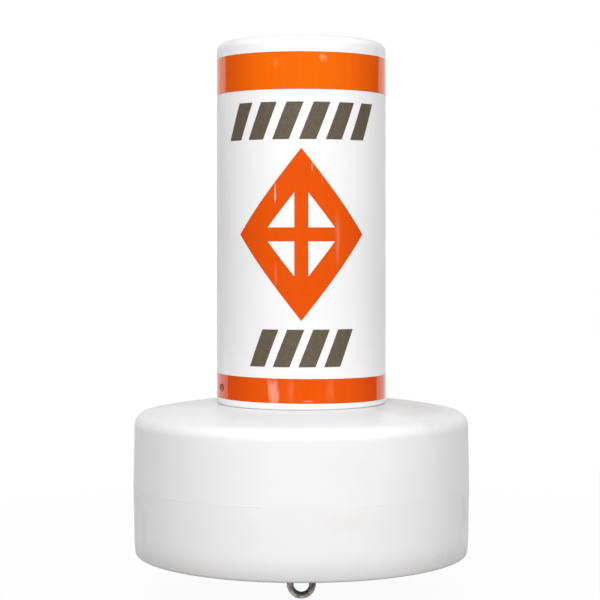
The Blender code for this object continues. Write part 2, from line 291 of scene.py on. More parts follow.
def joined(model: Model, other: Model, joinery: Joinery) -> Model:
    """Cuts one solid by another, welds them, or keeps what they share.

    Args:
        model: The solid that is worked on. It is used up.
        other: The second solid. It is used up.
        joinery: What is kept.

    Returns:
        The resulting solid.
    """
    things = []
    for name, part in (("blank", model), ("tool", other)):
        mesh = bpy.data.meshes.new(name)
        part.to_mesh(mesh)
        part.free()
        thing = bpy.data.objects.new(name, mesh)
        bpy.context.scene.collection.objects.link(thing)
        things.append(thing)
    boolean = things[0].modifiers.new(joinery.name, "BOOLEAN")
    boolean.operation = joinery.value
    boolean.object = things[1]
    graph = bpy.context.evaluated_depsgraph_get()
    made = bpy.data.meshes.new_from_object(things[0].evaluated_get(graph))
    result = bmesh.new()
    result.from_mesh(made)
    for thing in things:
        mesh = thing.data
        bpy.data.objects.remove(thing)
        bpy.data.meshes.remove(mesh)
    bpy.data.meshes.remove(made)
    return result


def block(size: tuple[float, float, float], matrix: Matrix) -> Model:
    """A rectangular block of a size, placed by a matrix."""
    model = bmesh.new()
    scale = Matrix.Diagonal((*size, 1))
    bmesh.ops.create_cube(model, size=1, matrix=matrix @ scale)
    return model


def add_piece(
    name: str, model: Model, finish: Finish, slot: Slot | None = None, *nodes: str
) -> None:
    """Makes a model a piece that rides on the buoy.

    Args:
        name: The piece's name.
        model: Its mesh, in place. It is used up.
        finish: Its finish.
        slot: The record's slot that the finish belongs to, if one fits. It is not used.
        *nodes: The CAD nodes that it stands for, if any.
    """
    mesh = bpy.data.meshes.new(name)
    model.to_mesh(mesh)
    model.free()
    mesh.shade_smooth()
    mesh.set_sharp_from_angle(angle=SHARP_ANGLE)
    mesh.materials.append(finish.material())
    piece = bpy.data.objects.new(name, mesh)
    bpy.context.scene.collection.objects.link(piece)
    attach(piece, BODY)
    if nodes:
        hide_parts(*nodes)
    LOG.info("%s: %d faces, stands for %s", name, len(mesh.polygons), ", ".join(nodes) or "none")


# Finishes. A Mix node's colours are its inputs 6 and 7 and its output 2, and a Map Range's ends
# are its inputs 1 to 4.


@dataclass(frozen=True)
class Patch:
    """A stained or hazed place on a surface, or a place of painted light or shade: a soft ellipsoid
    with a ragged edge.

    Its place, its reach and its grain are in millimetres.
    """

    place: tuple[float, float, float]
    reach: tuple[float, float, float]
    colour: str
    strength: float
    grain: float = 6
    stretch: float = 1
    raggedness: float = 1.4
    rim: float = 1.55
    core: float = 0.75

    def over(self, tree: Tree, coords: Socket, under: Socket) -> Socket:
        """Lays the patch over a colour.

        Args:
            tree: The material's node tree.
            coords: The object coordinates.
            under: The colour beneath.

        Returns:
            The colour with the patch on it.
        """
        place, reach = (tuple(value * MM for value in row) for row in (self.place, self.reach))
        spot = {"Vector": coords, "Location": place, "Scale": reach}
        local = add_node(tree, "Mapping", spot, vector_type="TEXTURE")
        distance = add_node(tree, "VectorMath", {0: local}, operation="LENGTH").outputs["Value"]
        drawn = add_node(tree, "Mapping", {"Vector": coords, "Scale": (1, 1, 1 / self.stretch)})
        grains = {"Vector": drawn, "Scale": 1 / (self.grain * MM), "Detail": 4, "Roughness": 0.6}
        ragged = {0: add_node(tree, "TexNoise", grains), 1: self.raggedness, 2: distance}
        edge = add_node(tree, "Math", ragged, operation="MULTIPLY_ADD")
        fade = {"Value": edge, 1: self.rim, 2: self.core, 3: 0.0, 4: self.strength}
        cover = add_node(tree, "MapRange", fade, interpolation_type="SMOOTHSTEP")
        layers = {0: cover, 6: under, 7: linear(self.colour)}
        return add_node(tree, "Mix", layers, data_type="RGBA").outputs[2]


@dataclass(frozen=True)
class Finish:
    """A finish that is made a material the first time that a piece takes it."""

    name: str

    def material(self) -> bpy.types.Material:
        """Gives the finish's material, and makes it if it isn't there yet."""
        known = bpy.data.materials.get(self.name)
        if known:
            return known
        material = bpy.data.materials.new(self.name)
        material.use_nodes = True
        tree = material.node_tree
        coords = add_node(tree, "TexCoord").outputs["Object"]
        self.dress(tree, tree.nodes["Principled BSDF"], coords)
        return material

    def dress(self, tree: Tree, shader: bpy.types.Node, coords: Socket) -> None:
        """Sets the shader's values and links its patterns.

        Args:
            tree: The material's node tree.
            shader: Its Principled shader.
            coords: The object coordinates.
        """
        raise NotImplementedError

    def wear_and_painted_light(self, tree: Tree, coords: Socket, colour: Socket, patches: tuple) -> Socket:
        """Lays patches of stains, wear, and painted light and shade over a colour, one after
        another, and gives the result.
        """
        for patch in patches:
            colour = patch.over(tree, coords, colour)
        return colour

    def mottled(
        self, tree: Tree, coords: Socket, size: float, colours: tuple[str, str], spread: float
    ) -> Socket:
        """A colour that wanders between two.

        Args:
            tree: The material's node tree.
            coords: The object coordinates.
            size: The size of the mottles, in metres.
            colours: The two colours.
            spread: How much of the noise's range the change takes: 1 is gentle, 0.1 is sharp.

        Returns:
            The colour.
        """
        clouds = {"Vector": coords, "Scale": 1 / size, "Detail": 5, "Roughness": 0.55}
        cloud = add_node(tree, "TexNoise", clouds)
        ends = {"Value": cloud, 1: 0.5 - spread / 2, 2: 0.5 + spread / 2}
        share = add_node(tree, "MapRange", ends)
        both = {0: share, 6: linear(colours[0]), 7: linear(colours[1])}
        return add_node(tree, "Mix", both, data_type="RGBA").outputs[2]

    def textured(
        self,
        tree: Tree,
        shader: bpy.types.Node,
        height: Socket,
        depth: float,
        strength: float,
        below: Socket | None = None,
    ) -> Socket:
        """Gives the shader a fine relief.

        Args:
            tree: The material's node tree.
            shader: Its Principled shader.
            height: The relief, from 0 to 1.
            depth: The relief's depth in metres.
            strength: How much of it shows.
            below: The normal of a coarser relief beneath, if there is one.

        Returns:
            The normal, for a finer relief above.
        """
        relief = {"Height": height, "Distance": depth, "Strength": strength}
        if below:
            relief["Normal"] = below
        bump = add_node(tree, "Bump", relief)
        feed(tree, shader, {"Normal": bump})
        return bump.outputs[0]


@dataclass(frozen=True)
class MouldedPolyethylene(Finish):
    """White HDPE out of a mould: a waxy half gloss over a faint orange peel.

    The peel is a skin of dimples about 3 mm apart, and the wall beneath it sinks and swells by
    a few tenths over a hand's breadth, so that highlights on it waver.
    """

    colour: str = "#F2F1F2"
    shade: str = "#ECEAEB"
    cloud_size: float = 60 * MM
    roughness: float = 0.34
    rub_size: float = 25 * MM
    peel_size: float = 3 * MM
    peel_depth: float = 0.05 * MM
    swell_size: float = 90 * MM
    swell_depth: float = 0.5 * MM
    foot_shade: str = "#D2D1CF"
    foot_shade_from: float = 0.0
    foot_shade_to: float = 0.0
    foot_shade_curve: float = 1.6
    patches: tuple[Patch, ...] = ()

    def dress(self, tree: Tree, shader: bpy.types.Node, coords: Socket) -> None:
        """Half gloss, wandering white, painted shade towards the foot, smudges and painted light
        and shade in patches, swell and peel.
        """
        colour = self.mottled(tree, coords, self.cloud_size, (self.colour, self.shade), 0.9)
        # Painted shade: the white darkens towards the foot, where less light reaches.
        if self.foot_shade_to > self.foot_shade_from:
            height = add_node(tree, "SeparateXYZ", {0: coords}).outputs["Z"]
            climb = {"Value": height, 1: self.foot_shade_to, 2: self.foot_shade_from}
            cover = {0: add_node(tree, "MapRange", climb), 1: self.foot_shade_curve}
            eased = add_node(tree, "Math", cover, operation="POWER")
            layers = {0: eased, 6: colour, 7: linear(self.foot_shade)}
            colour = add_node(tree, "Mix", layers, data_type="RGBA").outputs[2]
        colour = self.wear_and_painted_light(tree, coords, colour, self.patches)
        rubs = {"Vector": coords, "Scale": 1 / self.rub_size, "Detail": 6, "Roughness": 0.6}
        rubbed = add_node(tree, "TexNoise", rubs)
        ends = {1: 0.3, 2: 0.7, 3: self.roughness - 0.04, 4: self.roughness + 0.08}
        gloss = add_node(tree, "MapRange", {"Value": rubbed, **ends})
        feed(tree, shader, {"Base Color": colour, "Roughness": gloss})
        feed(tree, shader, {"IOR": 1.5, "Specular IOR Level": 0.35})
        normal = None
        for size, detail, depth, strength in (
            (self.swell_size, 1, self.swell_depth, 0.5), (self.peel_size, 2, self.peel_depth, 0.4)
        ):
            skin = {"Vector": coords, "Scale": 1 / size, "Detail": detail}
            height = add_node(tree, "TexNoise", skin).outputs[0]
            normal = self.textured(tree, shader, height, depth, strength, normal)


@dataclass(frozen=True)
class ReflectiveFilm(Finish):
    """Retro-reflective sheeting: dyed acrylic over glass beads, under a clear gloss face.

    The face mirrors the surroundings at the post's edges and hides them where it is seen square
    on. The beads are 0.05 mm, drawn as a 0.9 mm grain so that it shows. Rolling it on leaves
    upright streaks about 4 mm apart. Painted light makes the front paler and painted shade makes
    the sides deeper.
    The beads send light back where it came from, so what spills on to the collar is weak.
    """

    colour: str = "#E45608"
    shaded_side: str = "#DE4A08"
    spill: str = "#B4B0AC"
    roughness: float = 0.42
    front: float = -110 * MM
    side: float = -60 * MM
    bead_size: float = 0.9 * MM
    streak_size: float = 4 * MM
    streak_depth: float = 0.08 * MM
    edge_grime: str = "#8A4A22"
    grime_size: float = 5 * MM
    patches: tuple[Patch, ...] = ()

    def front_lit_colour(self, tree: Tree, coords: Socket, upright: bpy.types.Node) -> Socket:
        """The colour with painted light and shade: paler in front, deeper at the sides, in upright
        bands.

        Args:
            tree: The material's node tree.
            coords: The object coordinates.
            upright: The coordinates drawn out upright.

        Returns:
            The colour.
        """
        # Painted light and shade: paler where the film faces the front, deeper where it turns to
        # the sides.
        depth = add_node(tree, "SeparateXYZ", {0: coords}).outputs["Y"]
        turn = {"Value": depth, 1: self.front, 2: self.side, 3: 0.0, 4: 0.8}
        turned_away = add_node(tree, "MapRange", turn, interpolation_type="SMOOTHSTEP")
        stripes = {"Vector": upright, "Scale": 1 / (2.5 * self.streak_size), "Detail": 5}
        bands = {0: add_node(tree, "TexNoise", stripes), 1: 0.7, 2: turned_away}
        share = add_node(tree, "Math", bands, operation="MULTIPLY_ADD", use_clamp=True)
        side_shade_share = add_node(tree, "Math", {0: share, 1: 0.2}, operation="SUBTRACT", use_clamp=True)
        both = {0: side_shade_share, 6: linear(self.colour), 7: linear(self.shaded_side)}
        return add_node(tree, "Mix", both, data_type="RGBA").outputs[2]

    def dress(self, tree: Tree, shader: bpy.types.Node, coords: Socket) -> None:
        """Painted front light and side shade, beads, streaks, grime along the cut edge, patches
        that are mostly painted highlights and reflections, and the clear face.
        """
        upright = add_node(tree, "Mapping", {"Vector": coords, "Scale": (1, 1, 0.04)})
        colour = self.front_lit_colour(tree, coords, upright)
        beads = add_node(tree, "TexVoronoi", {"Vector": coords, "Scale": 1 / self.bead_size})
        glints = {"Value": beads.outputs["Distance"], 1: 0.0, 2: 0.9, 3: 1.05, 4: 0.9}
        grains = {0: 1.0, 6: colour, 7: add_node(tree, "MapRange", glints)}
        grained = add_node(tree, "Mix", grains, data_type="RGBA", blend_type="MULTIPLY")
        edge = add_node(tree, "Attribute", attribute_name="cut_edge").outputs["Fac"]
        specks = {"Vector": coords, "Scale": 1 / self.grime_size, "Detail": 5, "Roughness": 0.65}
        dirt = {0: edge, 1: add_node(tree, "TexNoise", specks)}
        worn = add_node(tree, "Math", dirt, operation="MULTIPLY")
        layers = {0: worn, 6: grained.outputs[2], 7: linear(self.edge_grime)}
        colour = add_node(tree, "Mix", layers, data_type="RGBA").outputs[2]
        colour = self.wear_and_painted_light(tree, coords, colour, self.patches)
        rays = add_node(tree, "LightPath").outputs
        bounced = {0: rays["Is Diffuse Ray"], 1: rays["Is Glossy Ray"]}
        elsewhere = add_node(tree, "Math", bounced, operation="MAXIMUM")
        layers = {0: elsewhere, 6: colour, 7: linear(self.spill)}
        spilt = add_node(tree, "Mix", layers, data_type="RGBA").outputs[2]
        face = {"Roughness": self.roughness, "Specular IOR Level": 0.0}
        coat = {"Coat Weight": 1.0, "Coat Roughness": 0.05, "Coat IOR": 1.49}
        feed(tree, shader, {"Base Color": spilt, **face, **coat})
        lines = {"Vector": upright, "Scale": 1 / self.streak_size, "Detail": 3}
        streaks = add_node(tree, "TexNoise", lines).outputs[0]
        rolled = self.textured(tree, shader, streaks, self.streak_depth, 0.35)
        feed(tree, shader, {"Coat Normal": rolled})


@dataclass(frozen=True)
class CutVinyl(Finish):
    """Calendered sign vinyl, faded from black: a satin face with the mottle of weathering."""

    colour: str = "#57503F"
    faded: str = "#665B4C"
    mottle_size: float = 4 * MM
    grain_size: float = 0.8 * MM

    def dress(self, tree: Tree, shader: bpy.types.Node, coords: Socket) -> None:
        """Satin, with faded patches and a fine grain."""
        colour = self.mottled(tree, coords, self.mottle_size, (self.colour, self.faded), 0.4)
        face = {"Roughness": 0.42, "Specular IOR Level": 0.4}
        feed(tree, shader, {"Base Color": colour, **face})
        specks = {"Vector": coords, "Scale": 1 / self.grain_size, "Detail": 2}
        grain = add_node(tree, "TexNoise", specks).outputs[0]
        self.textured(tree, shader, grain, 0.03 * MM, 0.4)


@dataclass(frozen=True)
class DippedZinc(Finish):
    """Hot-dip galvanised steel: dull grey crystals 2 mm across, and runs left by the dip."""

    bright: str = "#B4B0AA"
    dull: str = "#77736E"
    stain: str = "#3A332C"
    roughness: float = 0.36
    stained: float = 0.35
    crystal_size: float = 2.2 * MM
    stain_size: float = 6 * MM
    run_size: float = 1.6 * MM
    patches: tuple[Patch, ...] = ()

    def dress(self, tree: Tree, shader: bpy.types.Node, coords: Socket) -> None:
        """Crystals of two greys, stains in cloudy patches, given patches of painted light and
        shade, and a rippled skin.
        """
        cells = {"Vector": coords, "Scale": 1 / self.crystal_size}
        crystals = add_node(tree, "TexVoronoi", cells).outputs["Color"]
        greys = {0: crystals, 6: linear(self.bright), 7: linear(self.dull)}
        colour = add_node(tree, "Mix", greys, data_type="RGBA").outputs[2]
        clouds = {"Vector": coords, "Scale": 1 / self.stain_size, "Detail": 6, "Roughness": 0.65}
        cloud = add_node(tree, "TexNoise", clouds)
        ends = {"Value": cloud, 1: 0.62 - self.stained / 2, 2: 0.72, 3: 0.0, 4: 0.85}
        layers = {0: add_node(tree, "MapRange", ends), 6: colour, 7: linear(self.stain)}
        colour = add_node(tree, "Mix", layers, data_type="RGBA").outputs[2]
        colour = self.wear_and_painted_light(tree, coords, colour, self.patches)
        ends = {"Value": cloud, 1: 0.3, 2: 0.7, 3: self.roughness - 0.08, 4: 0.62}
        gloss = add_node(tree, "MapRange", ends)
        feed(tree, shader, {"Base Color": colour, "Metallic": 1.0, "Roughness": gloss})
        ripples = {"Vector": coords, "Scale": 1 / self.run_size, "Detail": 3}
        runs = add_node(tree, "TexNoise", ripples).outputs[0]
        self.textured(tree, shader, runs, 0.15 * MM, 0.5)


@dataclass(frozen=True)
class CastIron(Finish):
    """Grey iron as it left the sand: near black, dull, with grains 1.5 mm across."""

    colour: str = "#4A4846"
    scale: str = "#5C4F45"
    mottle_size: float = 12 * MM
    sand_size: float = 1.5 * MM

    def dress(self, tree: Tree, shader: bpy.types.Node, coords: Socket) -> None:
        """A dull skin with the sand's grain."""
        colour = self.mottled(tree, coords, self.mottle_size, (self.colour, self.scale), 0.5)
        feed(tree, shader, {"Base Color": colour, "Metallic": 0.6, "Roughness": 0.8})
        grains = {"Vector": coords, "Scale": 1 / self.sand_size, "Detail": 4}
        sand = add_node(tree, "TexNoise", grains).outputs[0]
        self.textured(tree, shader, sand, 0.4 * MM, 0.7)


@dataclass(frozen=True)
class ClosedCellFoam(Finish):
    """Polyurethane foam that rose in the moulding: cream, matt, with cells 1.2 mm across."""

    colour: str = "#F1E6C4"
    aged: str = "#E6D3A0"
    mottle_size: float = 30 * MM
    cell_size: float = 1.2 * MM

    def dress(self, tree: Tree, shader: bpy.types.Node, coords: Socket) -> None:
        """Matt cells, a little darker with age."""
        colour = self.mottled(tree, coords, self.mottle_size, (self.colour, self.aged), 0.7)
        feed(tree, shader, {"Base Color": colour, "Roughness": 0.92})
        cells = add_node(tree, "TexVoronoi", {"Vector": coords, "Scale": 1 / self.cell_size})
        self.textured(tree, shader, cells.outputs["Distance"], 0.4 * MM, 0.6)


# Sub-assemblies


@dataclass
class Post:
    """The post's shell, and the two screws that fix its foot to the stem."""

    wall: float = 5 * MM
    top_round: float = 11 * MM
    foot_round: float = 2.5 * MM
    inner_round: float = 6 * MM
    top_rise: float = 1.2 * MM
    turn_steps: int = 192
    screw_turn: float = math.radians(67.5)
    screw_recess: float = 0.9 * MM
    screw_steps: int = 32
    shell_finish: Finish = MouldedPolyethylene(
        "moulded_polyethylene_post",
        # Painted shade: a greyer band down the post's left side.
        patches=(Patch((-114, 0, 490), (36, 130, 400), "#E2DEDC", 0.7, 30, 6),),
    )
    screw_finish: Finish = DippedZinc(
        "browned_screw_steel",
        bright="#DCA89A",
        dull="#B88274",
        stain="#80564C",
        roughness=0.6,
        stained=0.25,
    )

    def shell(self) -> Model:
        """The post: closed and rounded at the top, open at the foot."""
        low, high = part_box("post_shell")
        inside = high.x - self.wall
        ceiling = high.z - self.wall
        return turned(
            [
                Corner(0, high.z), Corner(0.6 * high.x, high.z - 0.25 * self.top_rise),
                Corner(high.x, high.z - self.top_rise, self.top_round, 8),
                Corner(high.x, low.z, self.foot_round, 4), Corner(inside, low.z),
                Corner(inside, ceiling, self.inner_round, 4), Corner(0, ceiling),
            ],
            self.turn_steps,
        )

    def screw(self, side: Side) -> Model:
        """A pan-head screw with a cross recess, driven in square to the post.

        Args:
            side: The side of the post.

        Returns:
            The screw in its place.
        """
        seat, head_height, head_radius, head_round = 0.1 * MM, 1.5 * MM, 5 * MM, 1.3 * MM
        shank_radius, length, taper = 2.4 * MM, 11.3 * MM, 1 * MM
        recess = (6 * MM, 1.1 * MM, 2 * self.screw_recess)
        driven = 0.5
        screw = turned(
            [
                Corner(0, head_height), Corner(head_radius, head_height, head_round, 5),
                Corner(head_radius, 0), Corner(shank_radius, 0),
                Corner(shank_radius, taper - length), Corner(0, -length),
            ],
            self.screw_steps,
        )
        for angle in (0, math.pi / 2):
            crossed = Matrix.Rotation(angle + driven, 4, "Z")
            slot = block(recess, Matrix.Translation((0, 0, head_height)) @ crossed)
            screw = joined(screw, slot, Joinery.CUT)
        low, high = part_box("post_screw_front" if side is Side.LEFT else "post_screw_back")
        turn = -self.screw_turn if side is Side.LEFT else math.pi - self.screw_turn
        _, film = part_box("lower_band")
        place = (
            Matrix.Translation((0, 0, (low.z + high.z) / 2))
            @ Matrix.Rotation(turn, 4, "Z")
            @ Matrix.Rotation(math.pi / 2, 4, "X")
            @ Matrix.Translation((0, 0, film.x + seat))
        )
        bmesh.ops.transform(screw, matrix=place, verts=screw.verts)
        return screw

    def build(self) -> None:
        """Makes the shell and the screws."""
        add_piece("post", self.shell(), self.shell_finish, Slot.WHITE_PLASTIC, "post_shell")
        for side, node in ((Side.LEFT, "post_screw_front"), (Side.RIGHT, "post_screw_back")):
            name = f"foot_screw_{side.value}"
            add_piece(name, self.screw(side), self.screw_finish, Slot.STEEL, node)


@dataclass
class Collar:
    """The float collar, a hollow ring, and the plug in its filling hole."""

    wall: float = 5 * MM
    top_fall: float = 14.3 * MM
    top_crown: float = 2.2 * MM
    top_draft: float = 1.6 * MM
    foot_draft: float = 1.2 * MM
    foot_rise: float = 15 * MM
    foot_tuck: float = 1.8 * MM
    rim_cut: float = 14 * MM
    foot_cut: float = 3 * MM
    bore_cut: float = 1 * MM
    inner_cut: float = 8 * MM
    crown_round: float = 14 * MM
    draft_round: float = 8 * MM
    bore_radius: float = 109.3 * MM
    seat_radius: float = 117.3 * MM
    ridge: float = 0.4 * MM
    parting_height: float = 93.2 * MM
    flash_width: float = 1.2 * MM
    flash_height: float = 0.35 * MM
    flash_length: float = 34 * MM
    flash_kept: float = 0.3
    flash_spread: float = 1.4
    flash_least: float = 0.05
    turn_steps: int = 288
    shell_finish: Finish = MouldedPolyethylene(
        "moulded_polyethylene_collar",
        # Painted shade darkens the collar's foot.
        foot_shade_from=43 * MM,
        foot_shade_to=84 * MM,
        patches=(
            Patch((59, -218, 119), (46, 30, 28), "#E6E3D6", 0.22, 18),
            Patch((177, -140, 63), (16, 20, 9), "#DCCBBB", 0.3, 9),
            # Painted reflection: a pink tint on the collar's top on either side of the post, from
            # the orange tape's light.
            Patch((90, -155, 243.5), (26, 60, 14), "#F2D8D4", 0.22, 16),
            Patch((-91, -155, 243.5), (18, 50, 12), "#EEDFD8", 0.2, 12),
            # Painted shadow: the post's shadow on the right of the collar's top.
            Patch((150, -40, 240), (90, 160, 40), "#D8D5D3", 0.8, 60),
            Patch((-217, -60, 134), (20, 30, 30), "#D8CCC8", 0.25, 16),
            Patch((-205, -95, 96), (15, 15, 34), "#D2D0CF", 0.22, 14, 3),
            Patch((214, -72, 108), (15, 18, 38), "#CFD4D2", 0.25, 14, 3),
        ),
    )
    plug_finish: Finish = MouldedPolyethylene("turned_polyethylene_plug", peel_depth=0.02 * MM)

    def section(self, inset: float) -> list[Corner]:
        """The collar's section, or that of its hollow when it is inset.

        Args:
            inset: How far inside the skin the section lies.

        Returns:
            The section's corners, from the top of the bore outwards and down.
        """
        low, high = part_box("collar_shell")
        radius = high.x - self.ridge - inset
        bore = self.bore_radius + inset
        top, foot = high.z - inset, low.z + inset
        rim = radius - self.top_draft
        slope = [Vector((self.seat_radius, top)), Vector((rim, top - self.top_fall))]
        first, second = (slope[0].lerp(slope[1], share) for share in (1 / 3, 2 / 3))
        round_cut = self.rim_cut if inset == 0 else self.inner_cut
        corners = [
            Corner(bore, top, 0 if inset else self.bore_cut, 3), Corner(self.seat_radius, top),
            Corner(first.x, first.y + self.top_crown, self.crown_round, 6),
            Corner(second.x, second.y + self.top_crown, self.crown_round, 6),
            Corner(rim, slope[1].y, round_cut, 10),
        ]
        parting = low.z + self.parting_height
        if inset == 0:
            corners += [
                Corner(radius, parting + self.flash_width / 2),
                Corner(radius + self.flash_height, parting),
                Corner(radius, parting - self.flash_width / 2),
            ]
        tuck = radius - self.foot_draft
        corners += [
            Corner(tuck, foot + self.foot_rise, self.draft_round, 6),
            Corner(tuck - self.foot_tuck, foot, self.foot_cut, 7),
            Corner(bore, foot, 0 if inset else self.bore_cut, 3),
        ]
        return corners

    def shell(self) -> Model:
        """The ring, with an uneven moulding flash where the mould's halves met."""
        model = turned(self.section(0), self.turn_steps, closed=True)
        _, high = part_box("collar_shell")
        crest = high.x - self.ridge + self.flash_height
        near = 0.05 * MM
        for vert in model.verts:
            radius = math.hypot(vert.co.x, vert.co.y)
            if abs(radius - crest) < near:
                place = Vector((vert.co.x, vert.co.y, 0)) / self.flash_length
                kept = self.flash_kept + self.flash_spread * noise.noise(place)
                kept = min(max(kept, self.flash_least), 1.0)
                share = 1 - (1 - kept) * self.flash_height / radius
                vert.co.x *= share
                vert.co.y *= share
        add_hollow(model, turned(self.section(self.wall), self.turn_steps, closed=True))
        return model

    def plug(self) -> Model:
        """The screw-in plug, with a slot for a coin."""
        low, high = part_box("collar_plug")
        head = (high.x - low.x) / 2
        shank, shoulder = head - 4 * MM, low.z + 3 * MM
        shank_break, head_round = 0.6 * MM, 1.4 * MM
        slot_size = (1.3 * head, 3 * MM, 3 * MM)
        plug = turned(
            [
                Corner(0, high.z), Corner(shank, high.z, shank_break, 2),
                Corner(shank, shoulder), Corner(head, shoulder),
                Corner(head, low.z, head_round, 4), Corner(0, low.z),
            ],
            64,
        )
        slot = block(slot_size, Matrix.Translation((0, 0, low.z)))
        plug = joined(plug, slot, Joinery.CUT)
        place = Matrix.Translation((0, (low.y + high.y) / 2, 0))
        bmesh.ops.transform(plug, matrix=place, verts=plug.verts)
        return plug

    def build(self) -> None:
        """Makes the ring and the plug."""
        add_piece(
            "float_collar", self.shell(), self.shell_finish, Slot.WHITE_PLASTIC, "collar_shell"
        )
        add_piece("filling_plug", self.plug(), self.plug_finish, Slot.WHITE_PLASTIC, "collar_plug")


@dataclass
class Stem:
    """The tube that passes up through the collar, with its floor and its flange."""

    wall: float = 6 * MM
    floor: float = 6.5 * MM
    radius: float = 108.7 * MM
    hole_radius: float = 5.26 * MM
    inner_cut: float = 4 * MM
    flange_cut: float = 2 * MM
    turn_steps: int = 192
    finish: Finish = MouldedPolyethylene("moulded_polyethylene_stem")

    def build(self) -> None:
        """Makes the tube."""
        low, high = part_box("stem")
        inside = self.radius - self.wall
        floor = low.z + self.floor
        model = turned(
            [
                Corner(self.hole_radius, floor), Corner(inside, floor, self.inner_cut, 4),
                Corner(inside, high.z), Corner(self.radius, high.z), Corner(self.radius, floor),
                Corner(high.x, floor, self.flange_cut, 4),
                Corner(high.x, low.z, self.flange_cut, 4), Corner(self.hole_radius, low.z),
            ],
            self.turn_steps,
            closed=True,
        )
        add_piece("flanged_stem", model, self.finish, Slot.WHITE_PLASTIC, "stem")


@dataclass
class MooringEye:
    """The eye bolt of round bar, with the washer and the nut under the stem's floor."""

    bar_radius: float = 4.76 * MM
    opening_radius: float = 10.3 * MM
    bar_steps: int = 32
    ring_steps: int = 96
    shank_steps: int = 48
    neck_radius: float = 6.2 * MM
    neck_rise: float = 4.2 * MM
    neck_gap: float = 2.4 * MM
    neck_round: float = 3 * MM
    neck_flare: float = 0.6 * MM
    thread_pitch: float = 1.59 * MM
    thread_depth: float = 0.7 * MM
    thread_turns: int = 4
    hole_radius: float = 5.26 * MM
    edge_break: float = 0.5 * MM
    punch_round: float = 0.2 * MM
    plate_steps: int = 96
    eye_finish: Finish = DippedZinc(
        "hot_dip_galvanised_eye",
        patches=(
            # Painted shade and highlights: dark places where the ring mirrors shade, pale places
            # where it mirrors light.
            Patch((15, 0, -1), (6, 14, 10), "#1C1916", 0.85, 3, 2),
            Patch((-13.5, 0, -12), (6, 14, 8), "#CFC4BD", 0.6, 3, 2),
            Patch((6, 0, -13), (5, 14, 4), "#97958A", 0.6, 2),
            Patch((-10.5, 0, 2), (2.5, 14, 3), "#26221E", 0.8, 2),
        ),
    )
    finish: Finish = DippedZinc("hot_dip_galvanised_steel")

    def eye(self) -> Model:
        """The ring, its forged neck and the threaded shank."""
        ring_radius = self.opening_radius + self.bar_radius
        ring = bmesh.new()
        bmesh.ops.create_circle(
            ring,
            radius=self.bar_radius,
            segments=self.bar_steps,
            matrix=Matrix.Translation((ring_radius, 0, 0)),
        )
        spun(ring, (0, 1, 0), self.ring_steps)
        _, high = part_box("eye_bolt")
        nut_low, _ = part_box("eye_nut_lower")
        neck = ring_radius + self.neck_rise
        neck_top = nut_low.z - self.neck_gap
        corners = [Corner(0, high.z), Corner(self.bar_radius, high.z, 1 * MM, 3)]
        root = self.bar_radius - self.thread_depth
        for turn in range(self.thread_turns):
            level = neck_top + (self.thread_turns - turn) * self.thread_pitch
            corners += [Corner(self.bar_radius, level), Corner(root, level - self.thread_pitch / 2)]
        corners += [
            Corner(self.bar_radius, neck_top), Corner(self.neck_radius, neck, self.neck_round, 6),
            Corner(self.neck_radius + self.neck_flare, ring_radius),
            Corner(0, ring_radius - 1 * MM),
        ]
        return joined(ring, turned(corners, self.shank_steps), Joinery.WELD)

    def washer(self) -> Model:
        """The round plate washer under the floor, its edges broken by the punch."""
        low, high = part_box("eye_washer_lower")
        return turned(
            [
                Corner(self.hole_radius, high.z), Corner(high.x, high.z, self.punch_round, 2),
                Corner(high.x, low.z, self.edge_break, 3),
                Corner(self.hole_radius, low.z, self.edge_break, 3),
            ],
            self.plate_steps,
            closed=True,
        )

    def nut(self) -> Model:
        """The hexagonal nut, chamfered by turning, with a countersunk bore."""
        low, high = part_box("eye_nut_lower")
        across_flats = high.y - low.y
        corner_radius = across_flats / 2 / math.cos(math.pi / 6)
        height = high.z - low.z
        hexagon = bmesh.new()
        bmesh.ops.create_cone(
            hexagon,
            cap_ends=True,
            segments=6,
            radius1=corner_radius,
            radius2=corner_radius,
            depth=height,
            matrix=Matrix.Translation((0, 0, (low.z + high.z) / 2)),
        )
        chamfer = 0.9 * MM
        margin = 0.02 * MM
        flat = 0.97 * across_flats / 2
        blank = turned(
            [
                Corner(0, high.z + margin), Corner(flat, high.z + margin),
                Corner(corner_radius + margin, high.z - chamfer),
                Corner(corner_radius + margin, low.z + chamfer), Corner(flat, low.z - margin),
                Corner(0, low.z - margin),
            ],
            self.plate_steps,
        )
        bore = self.bar_radius + 0.2 * MM
        sink, past = 0.6 * MM, 1 * MM
        mouth = bore + sink + past
        drill = turned(
            [
                Corner(0, high.z + past), Corner(mouth, high.z + past),
                Corner(bore, high.z - sink), Corner(bore, low.z + sink),
                Corner(mouth, low.z - past), Corner(0, low.z - past),
            ],
            self.shank_steps,
        )
        return joined(joined(hexagon, blank, Joinery.COMMON), drill, Joinery.CUT)

    def build(self) -> None:
        """Makes the eye, the washer and the nut."""
        add_piece("mooring_eye", self.eye(), self.eye_finish, Slot.STEEL, "eye_bolt")
        add_piece("plate_washer", self.washer(), self.finish, Slot.STEEL, "eye_washer_lower")
        add_piece("hexagon_nut", self.nut(), self.finish, Slot.STEEL, "eye_nut_lower")


